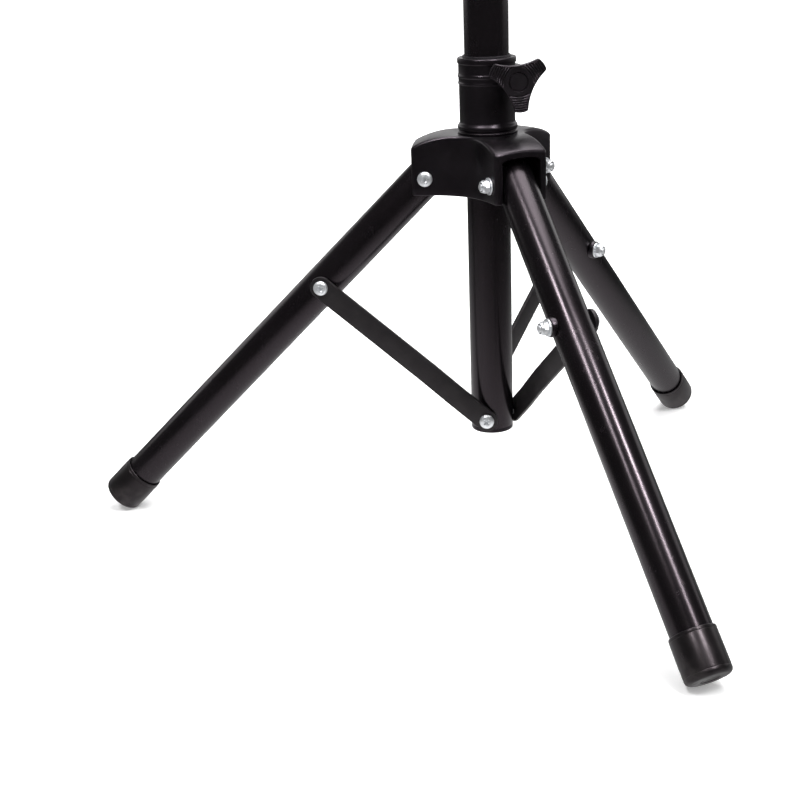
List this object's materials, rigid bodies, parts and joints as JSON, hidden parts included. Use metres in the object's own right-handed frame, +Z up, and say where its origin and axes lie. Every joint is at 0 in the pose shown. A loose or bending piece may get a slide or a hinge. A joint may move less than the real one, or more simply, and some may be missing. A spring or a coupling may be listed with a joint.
{
  "type": "speaker tripod stand",
  "caption": "Folding tripod stand with a steel column, strutted legs with foot caps, a sliding hub with a clamp knob and a telescoping pole.",
  "frame": {"origin": "centre of the flat lower face of the column's end plug, on the column's axis", "axes": "+Z up along the column to the pole's top, -X towards leg a, with leg b at 300 degrees and leg c at 60 degrees round Z"},
  "size_m": [0.5497, 0.6292, 0.837],
  "materials": {
    "tube_coat": "satin black powder coat",
    "strut_coat": "matt black powder coat",
    "hub_plastic": "satin moulded black",
    "knob_plastic": "fine grained moulded black",
    "foot_plastic": "soft moulded black",
    "liner_nylon": "dull black nylon",
    "zinc_steel": "bright zinc plate"
  },
  "bodies": {
    "column": {"main_tube": "tube_coat", "tube_end_plug": "hub_plastic", "upper_collar": "hub_plastic", "upper_bushing": "liner_nylon", "upper_knob_nut": "zinc_steel"},
    "hub": {"hub_bracket": "hub_plastic", "hub_collar": "hub_plastic", "hub_bushing": "liner_nylon", "hub_knob_nut": "zinc_steel", "pivot_bolt_a": "zinc_steel", "pivot_washer_a": "zinc_steel", "pivot_nut_a": "zinc_steel", "pivot_bolt_b": "zinc_steel", "pivot_washer_b": "zinc_steel", "pivot_nut_b": "zinc_steel", "pivot_bolt_c": "zinc_steel", "pivot_washer_c": "zinc_steel", "pivot_nut_c": "zinc_steel"},
    "leg_a": {"leg_tube_a": "tube_coat", "leg_top_plug_a": "hub_plastic", "foot_cap_a": "foot_plastic", "strut_saddle_a": "hub_plastic", "strut_bolt_a": "zinc_steel", "strut_washer_a": "zinc_steel", "strut_nut_a": "zinc_steel"},
    "strut_arm_a": {"strut_a": "strut_coat", "strut_screw_a": "zinc_steel"},
    "leg_b": {"leg_tube_b": "tube_coat", "leg_top_plug_b": "hub_plastic", "foot_cap_b": "foot_plastic", "strut_saddle_b": "hub_plastic", "strut_bolt_b": "zinc_steel", "strut_washer_b": "zinc_steel", "strut_nut_b": "zinc_steel"},
    "strut_arm_b": {"strut_b": "strut_coat", "strut_screw_b": "zinc_steel"},
    "leg_c": {"leg_tube_c": "tube_coat", "leg_top_plug_c": "hub_plastic", "foot_cap_c": "foot_plastic", "strut_saddle_c": "hub_plastic", "strut_bolt_c": "zinc_steel", "strut_washer_c": "zinc_steel", "strut_nut_c": "zinc_steel"},
    "strut_arm_c": {"strut_c": "strut_coat", "strut_screw_c": "zinc_steel"},
    "pole": {"inner_pole": "tube_coat", "pole_guide": "liner_nylon", "pole_top_spigot": "hub_plastic"},
    "hub_washer": {"hub_clamp_washer": "zinc_steel"},
    "hub_screw": {"hub_knob": "knob_plastic", "hub_knob_cap": "knob_plastic", "hub_knob_stud": "zinc_steel"},
    "upper_washer": {"upper_clamp_washer": "zinc_steel"},
    "upper_screw": {"upper_knob": "knob_plastic", "upper_knob_cap": "knob_plastic", "upper_knob_stud": "zinc_steel"}
  },
  "joints": [
    {"name": "hub_slide", "type": "slide", "parent": "column", "child": "hub", "axis": [0, 0, 1], "range_m": [0, 0.09796]},
    {"name": "leg_a_fold", "type": "hinge", "parent": "hub", "child": "leg_a", "pos_m": [-0.0508, 0, 0.2259], "axis": [0, -1, 0], "range_deg": [0, 44.8]},
    {"name": "strut_a_fold", "type": "hinge", "parent": "leg_a", "child": "strut_arm_a", "pos_m": [-0.14438, 0, 0.13167], "axis": [0, 1, 0], "range_deg": [0, 79.7]},
    {"name": "leg_b_fold", "type": "hinge", "parent": "hub", "child": "leg_b", "pos_m": [0.0254, -0.04399, 0.2259], "axis": [0.866, 0.5, 0], "range_deg": [0, 44.8]},
    {"name": "strut_b_fold", "type": "hinge", "parent": "leg_b", "child": "strut_arm_b", "pos_m": [0.07219, -0.12503, 0.13167], "axis": [-0.866, -0.5, 0], "range_deg": [0, 79.7]},
    {"name": "leg_c_fold", "type": "hinge", "parent": "hub", "child": "leg_c", "pos_m": [0.0254, 0.04399, 0.2259], "axis": [-0.866, 0.5, 0], "range_deg": [0, 44.8]},
    {"name": "strut_c_fold", "type": "hinge", "parent": "leg_c", "child": "strut_arm_c", "pos_m": [0.07219, 0.12503, 0.13167], "axis": [0.866, -0.5, 0], "range_deg": [0, 79.7]},
    {"name": "pole_slide", "type": "slide", "parent": "column", "child": "pole", "axis": [0, 0, 1], "range_m": [0, 0.5]},
    {"name": "hub_washer_slide", "type": "slide", "parent": "hub", "child": "hub_washer", "axis": [0.1219, -0.9925, 0], "range_m": [0, 0.0015]},
    {"name": "hub_knob_turn", "type": "hinge", "parent": "hub_washer", "child": "hub_screw", "pos_m": [0.02609, -0.01634, 0.3049], "axis": [0.1219, -0.9925, 0], "range_deg": [0, 540]},
    {"name": "upper_washer_slide", "type": "slide", "parent": "column", "child": "upper_washer", "axis": [0.1219, -0.9925, 0], "range_m": [0, 0.0015]},
    {"name": "upper_knob_turn", "type": "hinge", "parent": "upper_washer", "child": "upper_screw", "pos_m": [0.02609, -0.01634, 0.66], "axis": [0.1219, -0.9925, 0], "range_deg": [0, 540]}
  ],
  "couplings": [
    {"joint": "leg_a_fold", "follows": "hub_slide", "rad_per_m": 7.9815},
    {"joint": "strut_a_fold", "follows": "hub_slide", "rad_per_m": 14.192},
    {"joint": "leg_b_fold", "follows": "hub_slide", "rad_per_m": 7.9815},
    {"joint": "strut_b_fold", "follows": "hub_slide", "rad_per_m": 14.192},
    {"joint": "leg_c_fold", "follows": "hub_slide", "rad_per_m": 7.9815},
    {"joint": "strut_c_fold", "follows": "hub_slide", "rad_per_m": 14.192},
    {"joint": "hub_washer_slide", "follows": "hub_knob_turn", "m_per_rad": 0.000159},
    {"joint": "upper_washer_slide", "follows": "upper_knob_turn", "m_per_rad": 0.000159}
  ]
}
